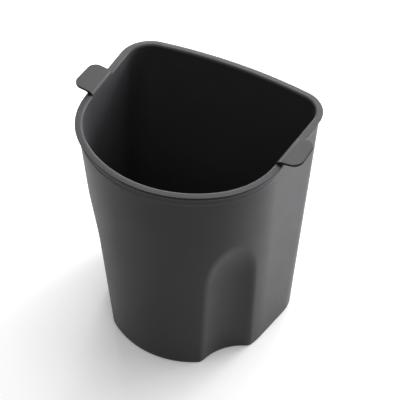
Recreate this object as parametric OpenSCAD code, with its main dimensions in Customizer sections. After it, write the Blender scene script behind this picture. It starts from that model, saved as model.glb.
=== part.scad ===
/* [Rim] */
// Width of the rim across the box
rim_width = 150; // [135:1:165]
// Depth of the rim from front to back
rim_depth = 135.4; // [126:0.2:145]
// Height of the rim above the foot
rim_height = 179; // [160:1:220]
// Width of the rim's flat top, from its outer edge to the inside of the box
rim_land = 5.1; // [4.8:0.1:5.9]

/* [Outline] */
// Radius of the round front
front_radius = 81.6; // [76:0.2:92]
// Angle that the front's arc covers on each side of the middle
front_sweep = 39; // [33:1:43]
// Radius of the shoulders between the front and the sides
shoulder_radius = 55.8; // [48:0.2:62]
// Radius of the two back corners
corner_radius = 22; // [18:0.5:28]
// Radius of the bowed back wall
back_radius = 345; // [280:1:600]

/* [Foot] */
// Width of the foot across the box
foot_width = 136.4; // [130:0.2:140]
// Depth of the foot from front to back
foot_depth = 115; // [110:0.5:119]
// How far the foot lies in front of the rim's middle
foot_forward = 3; // [0:0.1:4]
// Radius of the round front at the foot
foot_front_radius = 65.5; // [62:0.5:72]
// Radius of the shoulders at the foot
foot_shoulder_radius = 61.5; // [54:0.5:65]
// Radius of the two back corners at the foot
foot_corner_radius = 27; // [22:0.5:31]

/* [Wall] */
// Thickness of the wall
wall = 2.6; // [1.8:0.1:3.2]
// Thickness of the floor
floor_thickness = 2.6; // [1.6:0.1:6]
// Radius of the rounded edge at the foot
foot_radius = 1.2; // [0.6:0.1:2.2]
// Radius between the wall and the floor inside
floor_fillet = 6; // [3:0.5:7]

/* [Rim steps] */
// Thickness of the lip around the top
lip_thickness = 1; // [0.9:0.05:1.4]
// Rounding of the lip's outer edge
lip_edge = 0.4; // [0.2:0.05:0.44]
// Rounding of the rim's inner edge
inner_edge = 1.5; // [0.6:0.1:1.8]
// How far in the channel under the lip goes, from the lip's outer edge
channel_inset = 3.1; // [2.9:0.05:3.4]
// Distance from the rim's top down to the floor of the channel
channel_drop = 4; // [3:0.1:4.6]
// Inset of the flat band under the channel
band_inset = 2.6; // [2.5:0.05:2.8]
// Height of the flat band
band_height = 3.7; // [2.5:0.1:5]
// Inset of the wall under the band, and of the bead above it
step_inset = 2.3; // [1.8:0.05:2.4]
// Rounding of the edges of the two steps
step_edge = 0.5; // [0.3:0.05:0.7]

/* [Grooves] */
// Radius of the two scooped grooves
groove_radius = 37.6; // [30:0.1:44]
// Depth of a groove at the foot
groove_depth = 7.9; // [6:0.1:10]
// How much shallower a groove is at the top of its straight part
groove_runout = 0.8; // [0:0.1:3]
// Height of a groove's straight part above the foot
groove_straight = 84; // [70:0.5:96]
// Height over which a groove's round end would close in full
groove_end = 66.5; // [46:0.5:70]
// Direction of the right groove, in front of the side
right_groove_angle = 38.8; // [33:0.1:44]
// Direction of the left groove, in front of the side
left_groove_angle = 34.9; // [28:0.1:44]
// Softness of the edges of the grooves
groove_blend = 2.2; // [1:0.1:4]

/* [Tabs] */
// Place of the tabs' front end
tab_front = -7.9; // [-10:0.1:-4]
// Width of a tab along the rim
tab_width = 25.7; // [16:0.1:30]
// Distance from the middle of the box to a tab's outer edge
tab_reach = 83.5; // [80:0.5:90]
// Radius of a tab's two outer corners
tab_corner = 6.6; // [2:0.1:7.5]
// Thickness of a tab's plate
tab_thickness = 1.7; // [1.2:0.1:2.2]
// Height of a tab's top over the rim, above the rim's outer edge
tab_rise = 3; // [2.6:0.1:5]
// Upward tilt of a tab's plate
tab_tilt = 6.8; // [0:0.1:10]
// Radius of the roll from the inside of the box over to the tab
tab_roll = 4.4; // [3:0.1:4.8]
// Radius under a tab where it leaves the rim
tab_fillet = 1.4; // [0.8:0.1:1.7]

/* [Hidden] */

mould_colour = [0.2, 0.2, 0.21];

// Stations round the outline, counted on one half
front_steps = 18;
shoulder_steps = 18;
side_steps = 1;
corner_steps = 8;
back_steps = 3;
// Rows over the roundings of the section
foot_steps = 3;
edge_steps = 3;
end_steps = 9;
fillet_steps = 5;
// The wall's rounding above the lower step stops where it meets the band
step_turn = 127;

// Heights of the rim's steps above the foot
channel_floor = rim_height - channel_drop;
band_top = channel_floor - 2 * step_edge;
wall_top = band_top - band_height;

function mix(a, b, share) = a + (b - a) * share;
function direction(angle) = [cos(angle), sin(angle)];

// A plan is [half width, front end, back end, front radius, shoulder radius, corner radius].
// Both plans lie outside the wall by step_inset, so one section serves all heights.
rim_plan = [rim_width / 2, -rim_depth / 2, rim_depth / 2, front_radius, shoulder_radius, corner_radius];
foot_plan = [foot_width / 2, -foot_depth / 2 - foot_forward, foot_depth / 2 - foot_forward,
    foot_front_radius, foot_shoulder_radius, foot_corner_radius] + step_inset * [1, -1, 1, 1, 1, 1];

function plan_at(z) = mix(foot_plan, rim_plan, min(z / wall_top, 1));

// Half of a plan is a chain of four tangent arcs with one straight side
shoulder_start = front_sweep - 90;
function front_centre(plan) = [0, plan[1] + plan[3]];
function shoulder_centre(plan) = front_centre(plan) + (plan[3] - plan[4]) * direction(shoulder_start);
function back_centre(plan) = [0, plan[2] - back_radius];
function corner_centre(plan) =
    let (x = plan[0] - plan[5])
    back_centre(plan) + [x, sqrt(pow(back_radius - plan[5], 2) - x * x)];
function side_angle(plan) =
    let (span = corner_centre(plan) - shoulder_centre(plan))
    atan2(span[1], span[0]) - acos((plan[4] - plan[5]) / norm(span));
function corner_end(plan) =
    let (span = corner_centre(plan) - back_centre(plan))
    atan2(span[1], span[0]);

// A station holds the centre and radius of its arc and the outward angle there
function arc_stations(centre, radius, from, to, steps) =
    [for (i = [0:steps - 1]) [centre[0], centre[1], radius, mix(from, to, i / steps)]];

function side_stations(plan) =
    [for (i = [0:side_steps - 1])
        let (
            centre = mix(shoulder_centre(plan), corner_centre(plan), i / side_steps),
            radius = mix(plan[4], plan[5], i / side_steps)
        )
        [centre[0], centre[1], radius, side_angle(plan)]];

function half_outline(plan) = concat(
    arc_stations(front_centre(plan), plan[3], -90, shoulder_start, front_steps),
    arc_stations(shoulder_centre(plan), plan[4], shoulder_start, side_angle(plan), shoulder_steps),
    side_stations(plan),
    arc_stations(corner_centre(plan), plan[5], side_angle(plan), corner_end(plan), corner_steps),
    arc_stations(back_centre(plan), back_radius, corner_end(plan), 90, back_steps)
);

function mirrored(station) = [-station[0], station[1], station[2], 180 - station[3]];

// The stations right round the box at a height, from the middle of the front
function outline_at(z) =
    let (right = half_outline(plan_at(z)), last = len(right) - 1)
    concat(right, [[0, plan_at(z)[2] - back_radius, back_radius, 90]],
        [for (i = [last:-1:1]) mirrored(right[i])]);

function outline_point(station, inset) =
    [station[0], station[1]] + (station[2] - inset) * direction(station[3]);

// Points [inset, z] on an arc of the section
function section_arc(centre, radius, from, to, steps) =
    [for (i = [0:steps]) centre + radius * direction(mix(from, to, i / steps))];

// Heights of the rows over a groove's round end, closer together at its top
function groove_sink(z) = groove_depth - groove_runout * z / groove_straight;
// The inner face's hollow is larger by the wall and closes last
end_radius = groove_radius + wall;
end_closing = groove_sink(groove_straight) + groove_blend;
end_reach = groove_end / groove_radius * sqrt(pow(end_radius, 2) - pow(end_radius - end_closing, 2));
end_heights = [for (i = [1:end_steps]) groove_straight + end_reach * sin(90 * i / end_steps)];

foot_centre = [step_inset + foot_radius, foot_radius];
foot_rows = section_arc(foot_centre, foot_radius, -90, -180, foot_steps);
wall_heights = concat([groove_straight / 2, groove_straight], end_heights, [wall_top - step_edge]);
wall_rows = [for (z = wall_heights) [step_inset, z]];

rim_rows = concat(
    section_arc([step_inset + step_edge, wall_top - step_edge / 2], step_edge, 180, step_turn, edge_steps),
    [[band_inset, wall_top + step_edge], [band_inset, band_top]],
    section_arc([step_inset + step_edge, channel_floor - step_edge], step_edge, 180, 90, edge_steps),
    [[channel_inset, channel_floor], [channel_inset, rim_height - lip_thickness]],
    section_arc([lip_edge, rim_height - lip_thickness + lip_edge], lip_edge, 270, 180, edge_steps),
    section_arc([lip_edge, rim_height - lip_edge], lip_edge, 180, 90, edge_steps),
    section_arc([rim_land - inner_edge, rim_height - inner_edge], inner_edge, 90, 0, edge_steps)
);

// The inner face hangs straight down from the rim's top until the wall has its plain thickness,
// which it has above the grooves
inner_inset = step_inset + wall;
least_lean = min(rim_plan[0] - foot_plan[0], foot_plan[1] - rim_plan[1], rim_plan[2] - foot_plan[2]);
land_sink = wall_top * max(rim_land - inner_inset, 0) / least_lean;
grooves_top = end_heights[end_steps - 1];
land_end = max(wall_top - land_sink, mix(grooves_top, wall_top, 0.05));
floor_fillet_centre = [inner_inset + floor_fillet, floor_thickness + floor_fillet];
inner_heights = [for (i = [len(wall_heights) - 2:-1:0]) wall_heights[i]];
inner_rows = concat(
    [for (z = concat([land_end], inner_heights)) [inner_inset, z]],
    section_arc(floor_fillet_centre, floor_fillet, 180, 270, fillet_steps)
);

section = concat(foot_rows, wall_rows, rim_rows, inner_rows);

// Lesser of two depths, rounded over where they meet
function soft_min(a, b, blend) =
    let (overlap = max(blend - abs(a - b), 0) / blend)
    min(a, b) - overlap * overlap * blend / 4;

// A groove is the hollow of a cylinder that leans with the wall and ends in a round dome.
// The same axis serves the outer and the inner face, so the wall keeps its thickness.
function scooped(point, z, skin, angle, side) =
    let (
        plan = plan_at(z),
        shoulder = shoulder_centre(plan),
        out = [side * cos(angle), -sin(angle)],
        along = [-out[1], out[0]],
        centre = [side * shoulder[0], shoulder[1]],
        across = (point - centre) * along,
        up = max(z - groove_straight, 0) * groove_radius / groove_end,
        radius = groove_radius + skin,
        rest = radius * radius - across * across - up * up,
        crest = centre * out + plan[4] - step_inset,
        hollow = crest - groove_sink(z) + groove_radius - sqrt(max(rest, 0)),
        height = point * out
    )
    rest > 0 ? point + out * (soft_min(height, hollow, groove_blend) - height) : point;

function shell_point(station, row) =
    let (
        z = row[1],
        skin = row[0] - step_inset,
        plain = outline_point(station, row[0]),
        once = scooped(plain, z, skin, right_groove_angle, 1),
        twice = scooped(once, z, skin, left_groove_angle, -1)
    )
    [twice[0], twice[1], z];

function row_points(row) = [for (station = outline_at(row[1])) shell_point(station, row)];

// The shell is the section carried round the outline, closed by the foot and the floor
module shell() {
    around = len(outline_at(0));
    rows = len(section);
    points = concat(
        [[0, 0, 0]],
        [for (row = section) each row_points(row)],
        [[0, 0, floor_thickness]]
    );
    last = len(points) - 1;
    sides = [
        for (j = [0:rows - 2])
        for (i = [0:around - 1])
        let (
            next = (i + 1) % around,
            a = 1 + j * around + i,
            b = 1 + j * around + next,
            c = b + around,
            d = a + around
        )
        each [[a, d, c], [a, c, b]]
    ];
    foot = [for (i = [0:around - 1]) [0, 1 + i, 1 + (i + 1) % around]];
    floor_start = 1 + (rows - 1) * around;
    floor = [for (i = [0:around - 1]) [last, floor_start + (i + 1) % around, floor_start + i]];
    polyhedron(points = points, faces = concat(foot, sides, floor), convexity = 10);
}

// Side view of a tab, from the inside face of the rim outwards, with the rim's top at 0
tab_flush = 0.1;
tab_root_drop = 0.8;
tab_overrun = 6;
tab_roll_steps = 12;
tab_fillet_steps = 8;
tab_corner_sides = 48;
tab_edge = rim_land - lip_edge;
tab_slope = tan(tab_tilt);
rim_side_angle = side_angle(rim_plan);
rim_side = shoulder_centre(rim_plan) + (shoulder_radius - rim_land) * direction(rim_side_angle);

function tab_top(u) = tab_rise + tab_slope * (u - rim_land);
function tab_under(u) = tab_top(u) - tab_thickness / cos(tab_tilt);

module tab_profile() {
    roll_u = tab_flush + tab_roll;
    roll_v = tab_top(roll_u) - tab_roll / cos(tab_tilt);
    under_u = tab_edge + tab_fillet;
    under_v = tab_under(under_u) - tab_fillet / cos(tab_tilt);
    root_v = min(-inner_edge, roll_v) - tab_root_drop;
    end_u = tab_reach - rim_width / 2 + rim_land + tab_overrun;
    polygon(concat(
        [[tab_flush, root_v]],
        section_arc([roll_u, roll_v], tab_roll, 180, 90 + tab_tilt, tab_roll_steps),
        [[end_u, tab_top(end_u)], [end_u, tab_under(end_u)]],
        section_arc([under_u, under_v], tab_fillet, 90 + tab_tilt, 180, tab_fillet_steps),
        [[tab_edge, -tab_root_drop], [inner_edge, -tab_root_drop]]
    ));
}

// Plan of a tab, with its two outer corners rounded
module tab_plan() {
    inner_x = rim_width / 2 - 2 * rim_land - tab_overrun;
    round_x = tab_reach - tab_corner;
    translate([inner_x, tab_front]) square([round_x - inner_x, tab_width]);
    translate([inner_x, tab_front + tab_corner])
        square([tab_reach - inner_x, tab_width - 2 * tab_corner]);
    for (y = [tab_front + tab_corner, tab_front + tab_width - tab_corner])
        translate([round_x, y]) circle(r = tab_corner, $fn = tab_corner_sides);
}

// A tab rolls over from the inside of the rim and stands out past its outer edge
module tab() {
    run = tab_reach;
    low = rim_height - 2 * tab_roll;
    high = rim_height + tab_top(tab_reach) + tab_root_drop;
    intersection() {
        translate([rim_side[0], rim_side[1], rim_height])
            rotate([0, 0, rim_side_angle])
            rotate([90, 0, 0])
            translate([0, 0, -run])
            linear_extrude(height = 2 * run) tab_profile();
        translate([0, 0, low]) linear_extrude(height = high - low) tab_plan();
    }
}

module storage_box() {
    color(mould_colour) union() {
        shell();
        tab();
        mirror([1, 0, 0]) tab();
    }
}

storage_box();
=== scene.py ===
import math
import bpy
import numpy as np
from mathutils import Matrix, Vector


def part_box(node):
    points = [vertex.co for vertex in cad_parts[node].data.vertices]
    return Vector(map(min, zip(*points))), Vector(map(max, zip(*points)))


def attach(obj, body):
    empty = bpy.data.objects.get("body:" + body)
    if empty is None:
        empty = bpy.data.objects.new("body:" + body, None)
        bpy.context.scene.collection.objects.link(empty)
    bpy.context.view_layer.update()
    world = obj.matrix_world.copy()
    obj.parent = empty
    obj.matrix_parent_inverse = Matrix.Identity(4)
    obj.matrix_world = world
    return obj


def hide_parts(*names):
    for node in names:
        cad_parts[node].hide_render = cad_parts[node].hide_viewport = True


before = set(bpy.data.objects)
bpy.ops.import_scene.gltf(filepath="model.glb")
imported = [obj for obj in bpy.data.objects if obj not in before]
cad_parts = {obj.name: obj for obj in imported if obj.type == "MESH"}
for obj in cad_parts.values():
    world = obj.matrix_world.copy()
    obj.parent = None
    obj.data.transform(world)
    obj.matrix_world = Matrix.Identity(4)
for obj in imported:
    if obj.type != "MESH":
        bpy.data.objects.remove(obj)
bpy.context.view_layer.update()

# Sizes are in millimetres and angles in degrees; meshes are written in metres
mm = 0.001
boxLow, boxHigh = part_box("storage_box")
rimDepth = (boxHigh[1] - boxLow[1]) / mm
tabReach = (boxHigh[0] - boxLow[0]) / 2 / mm

# The D-shaped outline at the lip and at the foot: four tangent arcs a side and a straight flank.
# Both lie outside the wall by stepInset, and the outline changes evenly between them.
outlinePlan = {
    "lip": {
        "halfWidth": 75.0,
        "front": -rimDepth / 2,
        "back": rimDepth / 2,
        "frontRadius": 81.6,
        "shoulderRadius": 55.8,
        "cornerRadius": 22.0,
    },
    "foot": {
        "halfWidth": 70.5,
        "front": -62.8,
        "back": 56.8,
        "frontRadius": 67.8,
        "shoulderRadius": 63.8,
        "cornerRadius": 29.3,
    },
    "frontSweep": 39.0,
    "backRadius": 345.0,
    "steps": {"front": 44, "shoulder": 44, "flank": 12, "corner": 34, "back": 20},
}


def arcPoints(centre, radius, start, end, steps):
    # centre + radius * (cos, sin) of angles spread evenly from start to end
    angle = np.radians(np.linspace(start, end, steps + 1))
    return np.stack([centre[0] + radius * np.cos(angle), centre[1] + radius * np.sin(angle)], axis=1)


def planAt(z):
    # Sizes of the outline at a height
    share = min(z / wallTop, 1.0)
    foot, lip = outlinePlan["foot"], outlinePlan["lip"]
    return {key: foot[key] + (lip[key] - foot[key]) * share for key in lip}


def outlineChain(plan):
    # Centres of the tangent arcs on the right half, and the angles where one takes over
    backRadius = outlinePlan["backRadius"]
    front = np.array([0.0, plan["front"] + plan["frontRadius"]])
    back = np.array([0.0, plan["back"] - backRadius])
    cornerX = plan["halfWidth"] - plan["cornerRadius"]
    cornerY = back[1] + math.sqrt((backRadius - plan["cornerRadius"]) ** 2 - cornerX ** 2)
    corner = np.array([cornerX, cornerY])
    shoulderStart = outlinePlan["frontSweep"] - 90.0
    turn = math.radians(shoulderStart)
    gap = plan["frontRadius"] - plan["shoulderRadius"]
    shoulder = front + gap * np.array([math.cos(turn), math.sin(turn)])
    span = corner - shoulder
    lean = math.acos((plan["shoulderRadius"] - plan["cornerRadius"]) / np.hypot(*span))
    flankAngle = math.degrees(math.atan2(span[1], span[0]) - lean)
    cornerEnd = math.degrees(math.atan2(corner[1] - back[1], corner[0]))
    return {
        "centres": [front, shoulder, corner, back],
        "shoulderStart": shoulderStart,
        "flankAngle": flankAngle,
        "cornerEnd": cornerEnd,
    }


def outlineStations(plan):
    # Rows of [centre x, centre y, radius, outward angle] right round the box, front middle first
    chain = outlineChain(plan)
    front, shoulder, corner, back = chain["centres"]
    radii = [plan[key] for key in ("frontRadius", "shoulderRadius", "cornerRadius")]
    radii.append(outlinePlan["backRadius"])
    turns = [-90.0, chain["shoulderStart"], chain["flankAngle"], chain["cornerEnd"], 90.0]
    steps = outlinePlan["steps"]
    parts = []

    def addArc(centre, radius, start, end, count):
        angle = np.linspace(start, end, count, endpoint=False)
        ones = np.ones(count)
        parts.append(np.stack([centre[0] * ones, centre[1] * ones, radius * ones, angle], axis=1))

    addArc(front, radii[0], turns[0], turns[1], steps["front"])
    addArc(shoulder, radii[1], turns[1], turns[2], steps["shoulder"])
    share = np.linspace(0.0, 1.0, steps["flank"], endpoint=False)[:, None]
    flankFrom = np.array([shoulder[0], shoulder[1], radii[1], turns[2]])
    flankTo = np.array([corner[0], corner[1], radii[2], turns[2]])
    parts.append(flankFrom + share * (flankTo - flankFrom))
    addArc(corner, radii[2], turns[2], turns[3], steps["corner"])
    addArc(back, radii[3], turns[3], turns[4], steps["back"])
    parts.append(np.array([[back[0], back[1], radii[3], 90.0]]))
    right = np.concatenate(parts)
    left = right[-2:0:-1] * [-1.0, 1.0, 1.0, -1.0] + [0.0, 0.0, 0.0, 180.0]
    return np.concatenate([right, left])


# The wall and the steps of the rim, as insets from the lip's outer edge
wallPlan = {
    "height": 179.0,
    "wall": 2.6,
    "floor": 2.6,
    "footRadius": 1.2,
    "floorFillet": 6.0,
    "rimLand": 5.1,
    "lipThickness": 1.0,
    "lipEdge": 0.4,
    "innerEdge": 1.5,
    "landFall": 0.12,
    "channelInset": 3.6,
    "channelDrop": 3.7,
    "bandInset": 2.75,
    "bandHeight": 3.4,
    "stepInset": 2.3,
    "stepEdge": 0.8,
}
wallTop = wallPlan["height"] - wallPlan["channelDrop"] - 2 * wallPlan["stepEdge"] - wallPlan["bandHeight"]

# The two scooped grooves in the lower front corners
groovePlan = {
    "radius": 37.6,
    "depth": 7.9,
    "runout": 0.8,
    "straight": 84.0,
    "end": 66.5,
    "blend": 2.2,
    "angles": {1: 38.8, -1: 34.9},
}


def landRows(plan):
    # The top of the rim: level at its crest and falling a little towards the lip's edge
    start, end = plan["lipEdge"] + 0.1, plan["rimLand"] - plan["innerEdge"] - 0.3
    share = np.linspace(0.0, 1.0, 6)
    height = plan["height"] - plan["landFall"] * (1 - share) ** 2
    return np.stack([start + (end - start) * share, height], axis=1)


def sectionRows(plan, groove):
    # Rows of [inset, height] from the edge of the foot, up outside, over the rim and down inside
    height, edge, inset = plan["height"], plan["stepEdge"], plan["stepInset"]
    channelFloor = height - plan["channelDrop"]
    archTop = groove["straight"] + groove["end"] * 0.72

    def wallRows(heights, skin):
        heights = np.asarray(heights)
        return np.stack([np.full(len(heights), inset + skin), heights], axis=1)

    lower = np.linspace(plan["footRadius"], groove["straight"] - 16.0, 12)[1:]
    arch = np.linspace(groove["straight"] - 16.0, archTop, 46)[1:]
    upper = np.linspace(archTop, wallTop - edge, 6)[1:]
    heights = np.concatenate([lower, arch, upper])
    footCentre = [inset + plan["footRadius"], plan["footRadius"]]
    lipCentre = [plan["lipEdge"], height - plan["lipThickness"] + plan["lipEdge"]]
    landCentre = [plan["rimLand"] - plan["innerEdge"], height - plan["innerEdge"]]
    channelTop = height - plan["lipThickness"]
    channel = plan["channelInset"]
    nearEdge = 0.15
    lean = outlinePlan["lip"]["halfWidth"] - outlinePlan["foot"]["halfWidth"]
    landEnd = wallTop * (1 - (plan["rimLand"] - plan["wall"] - inset) / lean)
    filletTop = plan["floor"] + plan["floorFillet"]
    filletInset = inset + plan["wall"] + plan["floorFillet"]
    inside = heights[(heights < landEnd - 2.0) & (heights > filletTop + 1.0)][::-1]
    landFoot = landCentre[1] - 0.4
    near = np.array([[plan["rimLand"], landFoot], [inset + plan["wall"], landEnd]])
    return np.concatenate([
        arcPoints(footCentre, plan["footRadius"], -90, -180, 8),
        wallRows(heights, 0.0),
        arcPoints([inset + edge, wallTop - edge / 2], edge, 180, 118, 6),
        [[plan["bandInset"], wallTop + edge * 0.6], [plan["bandInset"], wallTop + edge * 0.9]],
        [[plan["bandInset"], channelFloor - 2.4 * edge], [plan["bandInset"], channelFloor - 2 * edge]],
        arcPoints([inset + edge, channelFloor - edge], edge, 180, 90, 8),
        [[channel - nearEdge, channelFloor], [channel, channelFloor + nearEdge]],
        [[channel, channelTop - nearEdge], [channel - nearEdge, channelTop]],
        [[plan["lipEdge"] + nearEdge, channelTop]],
        arcPoints(lipCentre, plan["lipEdge"], 270, 180, 6),
        arcPoints([plan["lipEdge"], height - plan["landFall"] - plan["lipEdge"]], plan["lipEdge"], 180, 90, 6),
        landRows(plan),
        arcPoints(landCentre, plan["innerEdge"], 90, 0, 10),
        near[0] + np.linspace(0.0, 1.0, 6)[:, None] * (near[1] - near[0]),
        wallRows(inside, plan["wall"]),
        arcPoints([filletInset, filletTop], plan["floorFillet"], 180, 270, 12),
    ])


# Painted light and shade: painted highlights on the edges of the two steps and a painted lift on the band,
# painted shadow on the lip's face and under it, and painted shade on the tabs
paintedLightPlan = {"face": 0.08, "upperEdge": 2.4, "band": 1.22, "lowerEdge": 2.5, "tab": 0.8}


def rowShades(rows):
    # Painted shade of each row of the section: painted shadow on the lip's face and under it, painted
    # highlights on the edges of the two steps and a painted lift on the band
    inset, z = rows[:, 0], rows[:, 1]
    height, edge = wallPlan["height"], wallPlan["stepEdge"]
    channelFloor = height - wallPlan["channelDrop"]
    outside = inset < wallPlan["channelInset"] - 0.4
    shades = np.ones(len(rows))
    underLip = (inset < wallPlan["channelInset"] + 0.1) & (z > channelFloor + 0.1)
    shades[underLip & (z < height - wallPlan["landFall"] - 0.12)] = paintedLightPlan["face"]
    shades[outside & (z <= channelFloor) & (z > wallTop)] = paintedLightPlan["band"]
    shades[outside & (z <= channelFloor - 0.02) & (z > channelFloor - 1.1 * edge)] = paintedLightPlan["upperEdge"]
    shades[outside & (z > wallTop - 0.6 * edge) & (z < wallTop + 0.5 * edge)] = paintedLightPlan["lowerEdge"]
    return shades


def softMin(a, b, blend):
    # The lesser of a and b, rounded over where they meet
    overlap = np.maximum(blend - np.abs(a - b), 0.0) / blend
    return np.minimum(a, b) - overlap ** 2 * blend / 4


def scooped(x, y, z, skin, side, groove):
    # A hollow cylinder of radius r + skin leans with the wall and closes in a dome:
    # hollow = crest - sink(z) + r - sqrt((r + skin)^2 - across^2 - up^2)
    plan = planAt(z)
    angle = math.radians(groove["angles"][side])
    out = np.array([side * math.cos(angle), -math.sin(angle)])
    centre = outlineChain(plan)["centres"][1] * [side, 1.0]
    across = (y - centre[1]) * out[0] - (x - centre[0]) * out[1]
    up = max(z - groove["straight"], 0.0) * groove["radius"] / groove["end"]
    rest = (groove["radius"] + skin) ** 2 - across ** 2 - up ** 2
    crest = centre @ out + plan["shoulderRadius"] - wallPlan["stepInset"]
    sink = groove["depth"] - groove["runout"] * z / groove["straight"]
    hollow = crest - sink + groove["radius"] - np.sqrt(np.maximum(rest, 0.0))
    height = x * out[0] + y * out[1]
    push = np.where(rest > 0, softMin(height, hollow, groove["blend"]) - height, 0.0)
    return x + push * out[0], y + push * out[1]


def shellRing(inset, z):
    # The outline at a height, drawn in: point = centre + (radius - inset) * (cos, sin)
    plan = planAt(z)
    stations = outlineStations(plan)
    angle = np.radians(stations[:, 3])
    reach = stations[:, 2] - inset
    x = stations[:, 0] + reach * np.cos(angle)
    y = stations[:, 1] + reach * np.sin(angle)
    for side in (1, -1):
        x, y = scooped(x, y, z, inset - wallPlan["stepInset"], side, groovePlan)
    return np.stack([x, y, np.full(len(x), z)], axis=1)


def discRings(edge, height, shares):
    # Rings that shrink a closed edge towards the middle, for a flat floor
    rings = edge[None] * np.asarray(shares)[:, None, None]
    rings[:, :, 2] = height
    return rings


def gridFaces(rows, around, first=0):
    # Quads between neighbouring rings of a grid that closes on itself
    j, i = np.meshgrid(np.arange(rows - 1), np.arange(around), indexing="ij")
    a = first + j * around + i
    b = first + j * around + (i + 1) % around
    return np.stack([a, b, b + around, a + around], axis=-1).reshape(-1, 4)


def fanFaces(ring, pole, around, flip):
    # Triangles from a ring to its pole
    i = np.arange(around)
    a, b = ring + i, ring + (i + 1) % around
    return np.stack([np.full(around, pole), b, a] if flip else [np.full(around, pole), a, b], axis=-1)


def meshObject(name, points, faces, shade=None):
    # Points in millimetres become a mesh in metres, with every face smooth.
    # shade is painted light and shade at each point, multiplied into the colour: 1 is plain, less is painted
    # shade, more is painted light.
    mesh = bpy.data.meshes.new(name)
    mesh.from_pydata((points * mm).tolist(), [], faces)
    if shade is not None:
        shades = mesh.attributes.new("shade", "FLOAT", "POINT")
        shades.data.foreach_set("value", np.asarray(shade, dtype=np.float32))
    mesh.update()
    mesh.shade_smooth()
    piece = bpy.data.objects.new(name, mesh)
    bpy.context.scene.collection.objects.link(piece)
    return piece


def makeShell():
    rows = sectionRows(wallPlan, groovePlan)
    wall = np.array([shellRing(inset, z) for inset, z in rows])
    shares = [0.2, 0.5, 0.8, 0.95]
    foot = discRings(wall[0], 0.0, shares)
    floor = discRings(wall[-1], wallPlan["floor"], shares[::-1])
    grid = np.concatenate([foot, wall, floor])
    count, around = grid.shape[0], grid.shape[1]
    poles = np.array([[0.0, 0.0, 0.0], [0.0, 0.0, wallPlan["floor"]]])
    points = np.concatenate([grid.reshape(-1, 3), poles])
    last = count * around
    faces = gridFaces(count, around).tolist()
    faces += fanFaces(0, last, around, True).tolist()
    faces += fanFaces((count - 1) * around, last + 1, around, False).tolist()
    shade = np.ones(len(points))
    shade[len(shares) * around:(len(shares) + len(rows)) * around] = np.repeat(rowShades(rows), around)
    print("shell", len(points), "points", len(faces), "faces")
    return meshObject("storageBox", points, faces, shade)


# The tabs roll over from the inside of the rim and stand out past its lip
tabPlan = {
    "front": -7.9,
    "width": 25.7,
    "reach": tabReach,
    "corner": 6.6,
    "thickness": 1.7,
    "rise": 3.0,
    "tilt": 6.8,
    "roll": 4.4,
    "fillet": 1.4,
    "edge": 0.35,
    "flush": 0.1,
    "rootDrop": 0.8,
}


def tabLoop(plan, shrink, reach):
    # Section of a tab in [out, up] from the rim's inner face: a top chain and a bottom chain,
    # both from the root to the tip and drawn in by shrink
    tilt = math.radians(plan["tilt"])
    land, lipEdge = wallPlan["rimLand"], wallPlan["lipEdge"]

    def top(u, drop=0.0):
        return plan["rise"] + math.tan(tilt) * (u - land) - (shrink + drop) / math.cos(tilt)

    rollU = plan["flush"] + plan["roll"]
    rollV = top(rollU, plan["roll"] - shrink)
    rootV = -plan["rootDrop"]
    innerEdge = wallPlan["innerEdge"]
    deepV = min(-innerEdge, rollV) + rootV
    edge = plan["edge"]
    under = plan["thickness"] - 2 * shrink
    tip = reach - shrink - under * math.sin(tilt)
    filletU = land - lipEdge - shrink + plan["fillet"] + shrink
    filletV = top(filletU, under + plan["fillet"] + shrink)
    half = under / 2
    round_ = min(edge, half * 0.9)
    normal = np.array([-math.sin(tilt), math.cos(tilt)])
    tangent = np.array([math.cos(tilt), math.sin(tilt)])
    upper = np.array([tip, top(tip)]) - (tangent + normal) * round_
    lower = np.array([tip, top(tip)]) - tangent * round_ - normal * (under - round_)
    rise = np.linspace(deepV, rollV, 7)[:-1]
    stem = np.stack([np.full(6, plan["flush"] + shrink), rise], axis=1)
    rollArc = arcPoints([rollU, rollV], plan["roll"] - shrink, 180, 90 + plan["tilt"], 18)
    flatStart, flatEnd = rollArc[-1], upper + normal * round_
    share = np.linspace(0.0, 1.0, 14)[1:-1, None]
    plate = flatStart + share * (flatEnd - flatStart)
    tipTop = arcPoints(upper, round_, 90 + plan["tilt"], plan["tilt"], 6)
    topChain = np.concatenate([stem, rollArc, plate, tipTop])
    tipLow = arcPoints(lower, round_, plan["tilt"], plan["tilt"] - 90, 6)[::-1]
    fillet = arcPoints([filletU, filletV], plan["fillet"] + shrink, 90 + plan["tilt"], 180, 18)[::-1]
    underStart, underEnd = fillet[-1], tipLow[0]
    underside = underStart + share * (underEnd - underStart)
    drop = np.linspace(rootV, fillet[0][1], 6)[:-1]
    root = np.stack([np.full(5, fillet[0][0]), drop], axis=1)
    bottomChain = np.concatenate([[[innerEdge, rootV]], root, fillet, underside, tipLow])
    return topChain, bottomChain


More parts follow.
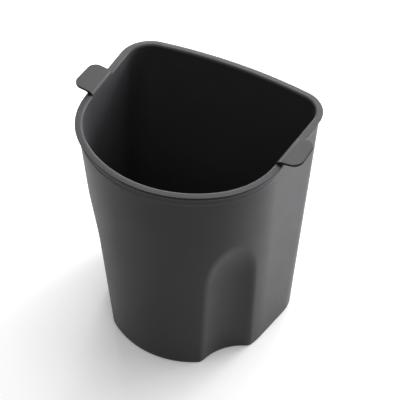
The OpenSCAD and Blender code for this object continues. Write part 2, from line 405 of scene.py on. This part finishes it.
def makeTab(side):
    # The section carried across the tab's width; its reach follows the rounded corners in plan
    plan = tabPlan
    chain = outlineChain(outlinePlan["lip"])
    turn = math.radians(chain["flankAngle"])
    out = np.array([math.cos(turn), math.sin(turn)])
    along = np.array([-out[1], out[0]])
    base = chain["centres"][1] + (outlinePlan["lip"]["shoulderRadius"] - wallPlan["rimLand"]) * out
    half, middle = plan["width"] / 2, plan["front"] + plan["width"] / 2
    corner = np.radians(np.linspace(0, 90, 19))
    edge = np.radians(np.linspace(0, 90, 7))
    bend = half - plan["corner"] + plan["corner"] * np.sin(corner)
    sides = np.concatenate([np.linspace(0, half - plan["corner"], 8)[:-1], bend[bend < half - plan["edge"]]])
    ends = half - plan["edge"] + plan["edge"] * np.sin(edge)
    across = np.concatenate([sides, ends])
    shrinks = np.concatenate([np.zeros(len(sides)), plan["edge"] * (1 - np.cos(edge))])
    across = np.concatenate([-across[:0:-1], across])
    shrinks = np.concatenate([shrinks[:0:-1], shrinks])
    rings, shades = [], []
    for w, shrink in zip(across, shrinks):
        beyond = np.clip(abs(w) - (half - plan["corner"]), 0, plan["corner"] - plan["edge"] * 0.5)
        reachX = plan["reach"] - plan["corner"] + math.sqrt(plan["corner"] ** 2 - beyond ** 2)
        y = middle + w
        reach = (reachX - base[0]) * out[0] + (y - base[1]) * out[1]
        top, bottom = tabLoop(plan, shrink, reach)
        loop = np.concatenate([top, bottom[::-1]])
        # Painted shadow on the tab's tip and rounded ends, and painted shade that makes the rest of the tab a
        # little darker
        face = np.arange(len(loop)) - len(top)
        face = ((face >= -4) & (face < 4)) | (shrink > 0.6 * plan["edge"])
        shades.append(np.where(face, paintedLightPlan["face"], paintedLightPlan["tab"]))
        slide = (y - base[1] - loop[:, 0] * out[1]) / along[1]
        ground = base + loop[:, :1] * out + slide[:, None] * along
        rings.append(np.concatenate([ground, wallPlan["height"] + loop[:, 1:]], axis=1))
    grid = np.array(rings)
    grid[:, :, 0] *= side
    count, around = grid.shape[0], grid.shape[1]
    loop = np.arange(around)
    faces = gridFaces(count, around).tolist()
    faces += [loop[::-1].tolist(), (loop + (count - 1) * around).tolist()]
    if side < 0:
        faces = [face[::-1] for face in faces]
    return meshObject("tab", grid.reshape(-1, 3), faces, np.concatenate(shades))


def signedVolume(piece):
    # Sum of the tetrahedra from the origin to each triangle, in cubic metres
    mesh = piece.data
    mesh.calc_loop_triangles()
    points = np.empty(len(mesh.vertices) * 3)
    mesh.vertices.foreach_get("co", points)
    corners = np.empty(len(mesh.loop_triangles) * 3, dtype=np.int32)
    mesh.loop_triangles.foreach_get("vertices", corners)
    a, b, c = np.moveaxis(points.reshape(-1, 3)[corners.reshape(-1, 3)], 1, 0)
    return float(np.einsum("ij,ij->i", a, np.cross(b, c)).sum() / 6)


def unite(piece, other):
    modifier = piece.modifiers.new("join", "BOOLEAN")
    modifier.operation = "UNION"
    modifier.solver = "MANIFOLD"
    modifier.object = other
    graph = bpy.context.evaluated_depsgraph_get()
    joined = bpy.data.meshes.new_from_object(piece.evaluated_get(graph))
    piece.modifiers.clear()
    piece.data = joined
    bpy.data.objects.remove(other)


shell = makeShell()
print("shell volume, cm3", round(signedVolume(shell) * 1e6, 2))
for side in (1, -1):
    tab = makeTab(side)
    print("tab volume, cm3", round(signedVolume(tab) * 1e6, 3))
    unite(shell, tab)
shell.data.name = "storageBox"
shell.data.shade_smooth()
shell.data.set_sharp_from_angle(angle=math.radians(38))
print("box volume, cm3", round(signedVolume(shell) * 1e6, 2), "faces", len(shell.data.polygons))
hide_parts("storage_box")
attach(shell, "root")

# The matt dark grey plastic and its fine moulded grain
plasticLook = {
    "colour": (0.0702, 0.0696, 0.0745, 1.0),
    "roughness": 0.45,
    "specular": 0.22,
    "grainSize": 0.00042,
    "grainDepth": 0.00003,
    "mottleSize": 0.018,
    "mottle": 0.06,
}


def newNode(tree, kind, place, **settings):
    node = tree.nodes.new(kind)
    node.location = place
    for name, value in settings.items():
        setattr(node, name, value)
    return node


def plasticMaterial(look):
    material = bpy.data.materials.new("mouldedPlastic")
    material.use_nodes = True
    tree = material.node_tree
    links = tree.links
    surface = tree.nodes["Principled BSDF"]
    surface.inputs["Specular IOR Level"].default_value = look["specular"]
    place = newNode(tree, "ShaderNodeTexCoord", (-1300, 0))
    mottle = newNode(tree, "ShaderNodeTexNoise", (-1000, 300))
    mottle.inputs["Scale"].default_value = 1 / look["mottleSize"]
    mottle.inputs["Detail"].default_value = 4.0
    links.new(place.outputs["Object"], mottle.inputs["Vector"])
    shade = newNode(tree, "ShaderNodeMapRange", (-750, 300))
    shade.inputs["To Min"].default_value = 1 - look["mottle"]
    shade.inputs["To Max"].default_value = 1 + look["mottle"]
    links.new(mottle.outputs["Fac"], shade.inputs["Value"])
    colour = newNode(tree, "ShaderNodeMix", (-500, 300), data_type="RGBA", blend_type="MULTIPLY")
    colour.inputs["Factor"].default_value = 1.0
    colour.inputs[6].default_value = look["colour"]
    links.new(shade.outputs["Result"], colour.inputs[7])
    # The shade attribute multiplies the colour with painted light and shade: highlights on the steps, shadow
    # under the lip and on the tabs' tips
    paintedLight = newNode(tree, "ShaderNodeAttribute", (-500, 550), attribute_name="shade")
    paintedColour = newNode(tree, "ShaderNodeMix", (-250, 300), data_type="RGBA", blend_type="MULTIPLY")
    paintedColour.inputs["Factor"].default_value = 1.0
    links.new(colour.outputs[2], paintedColour.inputs[6])
    links.new(paintedLight.outputs["Fac"], paintedColour.inputs[7])
    links.new(paintedColour.outputs[2], surface.inputs["Base Color"])
    gloss = newNode(tree, "ShaderNodeMapRange", (-500, 0))
    gloss.inputs["To Min"].default_value = look["roughness"] - 0.05
    gloss.inputs["To Max"].default_value = look["roughness"] + 0.05
    links.new(mottle.outputs["Fac"], gloss.inputs["Value"])
    # Where the painted shadow is dark the plastic is also made rougher
    paintedShadeMatt = newNode(tree, "ShaderNodeMapRange", (-500, 800))
    paintedShadeMatt.inputs["From Max"].default_value = 0.5
    paintedShadeMatt.inputs["To Min"].default_value = 0.95
    paintedShadeMatt.inputs["To Max"].default_value = 0.0
    links.new(paintedLight.outputs["Fac"], paintedShadeMatt.inputs["Value"])
    rough = newNode(tree, "ShaderNodeMath", (-250, 0), operation="MAXIMUM")
    links.new(gloss.outputs["Result"], rough.inputs[0])
    links.new(paintedShadeMatt.outputs["Result"], rough.inputs[1])
    links.new(rough.outputs[0], surface.inputs["Roughness"])
    grain = newNode(tree, "ShaderNodeTexVoronoi", (-1000, -300), feature="SMOOTH_F1")
    grain.inputs["Scale"].default_value = 1 / look["grainSize"]
    grain.inputs["Smoothness"].default_value = 0.6
    links.new(place.outputs["Object"], grain.inputs["Vector"])
    bump = newNode(tree, "ShaderNodeBump", (-500, -300))
    bump.inputs["Distance"].default_value = look["grainDepth"]
    bump.inputs["Strength"].default_value = 1.0
    links.new(grain.outputs["Distance"], bump.inputs["Height"])
    links.new(bump.outputs["Normal"], surface.inputs["Normal"])
    return material


shell.data.materials.clear()
shell.data.materials.append(plasticMaterial(plasticLook))
print("plastic made")

# The floor: pale, white to the camera where it is lit, with the box's soft shadow on it, partly cast by the
# lamps and partly painted into the glow
floorPlan = {
    "size": 6.0,
    "pale": (0.9, 0.9, 0.9, 1.0),
    "dim": (0.04, 0.04, 0.04, 1.0),
    "glow": 0.54,
    "crease": 0.09,
    "farStart": 0.4,
    "farEnd": 1.5,
}


def seenDirectly(tree):
    # 1 for rays that show the surroundings: from the camera, off a gloss or through glass
    path = newNode(tree, "ShaderNodeLightPath", (-1000, -200))
    shown = path.outputs["Is Camera Ray"]
    for i, ray in enumerate(("Is Glossy Ray", "Is Transmission Ray")):
        either = newNode(tree, "ShaderNodeMath", (-800 + 200 * i, -200), operation="MAXIMUM")
        tree.links.new(shown, either.inputs[0])
        tree.links.new(path.outputs[ray], either.inputs[1])
        shown = either.outputs[0]
    return shown


def makeFloor(plan):
    half = plan["size"] / 2
    corners = np.array([[-half, -half, 0], [half, -half, 0], [half, half, 0], [-half, half, 0]]) / mm
    floor = meshObject("floor", corners, [[0, 1, 2, 3]])
    material = bpy.data.materials.new("paleFloor")
    material.use_nodes = True
    tree = material.node_tree
    surface = tree.nodes["Principled BSDF"]
    shown = seenDirectly(tree)
    colour = newNode(tree, "ShaderNodeMix", (-200, 200), data_type="RGBA")
    colour.inputs[6].default_value = plan["dim"]
    colour.inputs[7].default_value = plan["pale"]
    tree.links.new(shown, colour.inputs["Factor"])
    tree.links.new(colour.outputs[2], surface.inputs["Base Color"])
    surface.inputs["Roughness"].default_value = 0.9
    surface.inputs["Specular IOR Level"].default_value = 0.0
    # The glow is painted darker in the crease under the box: a painted contact shadow
    crease = newNode(tree, "ShaderNodeAmbientOcclusion", (-600, -400), samples=12)
    crease.inputs["Distance"].default_value = plan["crease"]
    fade = newNode(tree, "ShaderNodeMath", (-400, -400), operation="MULTIPLY")
    fade.inputs[1].default_value = plan["glow"]
    tree.links.new(crease.outputs["AO"], fade.inputs[0])
    # Away from the box, where the lamps are weak, the glow rises to white
    place = newNode(tree, "ShaderNodeTexCoord", (-1000, -600))
    span = newNode(tree, "ShaderNodeVectorMath", (-800, -600), operation="LENGTH")
    tree.links.new(place.outputs["Object"], span.inputs[0])
    far = newNode(tree, "ShaderNodeMapRange", (-600, -600), interpolation_type="SMOOTHSTEP")
    far.inputs["From Min"].default_value = plan["farStart"]
    far.inputs["From Max"].default_value = plan["farEnd"]
    far.inputs["To Max"].default_value = 1 - plan["glow"]
    tree.links.new(span.outputs["Value"], far.inputs["Value"])
    total = newNode(tree, "ShaderNodeMath", (-400, -600), operation="ADD")
    tree.links.new(fade.outputs[0], total.inputs[0])
    tree.links.new(far.outputs["Result"], total.inputs[1])
    glow = newNode(tree, "ShaderNodeMath", (-200, -200), operation="MULTIPLY")
    tree.links.new(shown, glow.inputs[0])
    tree.links.new(total.outputs[0], glow.inputs[1])
    surface.inputs["Emission Color"].default_value = (1, 1, 1, 1)
    tree.links.new(glow.outputs[0], surface.inputs["Emission Strength"])
    floor.data.materials.append(material)


makeFloor(floorPlan)

# Studio light: a soft light high behind the box, a low row from the back left to the right,
# a weak one in front and a dim room. turn is the angle from +X and lift the one above the floor.
lightPlan = {
    "back": {"turn": 90.0, "lift": 55.0, "size": (1.0, 0.8), "power": 10.0},
    "backLeft": {"turn": 120.0, "lift": 15.0, "size": (0.7, 0.45), "power": 8.2},
    "backRight": {"turn": 60.0, "lift": 15.0, "size": (0.7, 0.45), "power": 14.0},
    "right": {"turn": 30.0, "lift": 15.0, "size": (0.7, 0.45), "power": 5.6},
    "front": {"turn": 285.0, "lift": 55.0, "size": (1.0, 0.8), "power": 1.9},
}
lampDistance = 1.3
roomLight = 0.05
aim = Vector((0.0, 0.0, 0.09))


def makeLight(name, plan):
    data = bpy.data.lights.new(name, "AREA")
    data.shape = "RECTANGLE"
    data.size, data.size_y = plan["size"]
    data.energy = plan["power"]
    lamp = bpy.data.objects.new(name, data)
    turn, lift = math.radians(plan["turn"]), math.radians(plan["lift"])
    toLamp = Vector((math.cos(lift) * math.cos(turn), math.cos(lift) * math.sin(turn), math.sin(lift)))
    lamp.location = aim + lampDistance * toLamp
    lamp.rotation_euler = (aim - lamp.location).to_track_quat("-Z", "Y").to_euler()
    bpy.context.scene.collection.objects.link(lamp)


for name, plan in lightPlan.items():
    makeLight(name + "Light", plan)


def makeRoom(strength):
    # White to the camera, and a plain grey for the light that falls on the box
    world = bpy.data.worlds.new("room")
    bpy.context.scene.world = world
    world.use_nodes = True
    tree = world.node_tree
    level = newNode(tree, "ShaderNodeMapRange", (-400, 0))
    level.inputs["To Min"].default_value = strength
    level.inputs["To Max"].default_value = 1.0
    tree.links.new(seenDirectly(tree), level.inputs["Value"])
    background = tree.nodes["Background"]
    background.inputs["Color"].default_value = (1, 1, 1, 1)
    tree.links.new(level.outputs["Result"], background.inputs["Strength"])


makeRoom(roomLight)
print("light made")

# The camera of the photo, fitted to the edges of the box
cameraPlan = {
    "place": (0.27786, -0.48062, 0.6833),
    "azimuth": 29.247,
    "elevation": 46.143,
    "roll": -0.495,
    "lens": 104.34,
}


def makeCamera(plan):
    turn, lift, roll = (math.radians(plan[key]) for key in ("azimuth", "elevation", "roll"))
    back = Vector((math.sin(turn) * math.cos(lift), -math.cos(turn) * math.cos(lift), math.sin(lift)))
    right = Vector((math.cos(turn), math.sin(turn), 0.0))
    up = back.cross(right)
    rolledRight = math.cos(roll) * right + math.sin(roll) * up
    rolledUp = math.cos(roll) * up - math.sin(roll) * right
    data = bpy.data.cameras.new("camera")
    data.sensor_width = 36.0
    data.lens = plan["lens"]
    data.clip_start, data.clip_end = 0.02, 50.0
    camera = bpy.data.objects.new("camera", data)
    bpy.context.scene.collection.objects.link(camera)
    turned = Matrix((rolledRight, rolledUp, back)).transposed()
    camera.matrix_world = Matrix.Translation(plan["place"]) @ turned.to_4x4()
    bpy.context.scene.camera = camera


makeCamera(cameraPlan)
bpy.context.scene.view_settings.view_transform = "Standard"
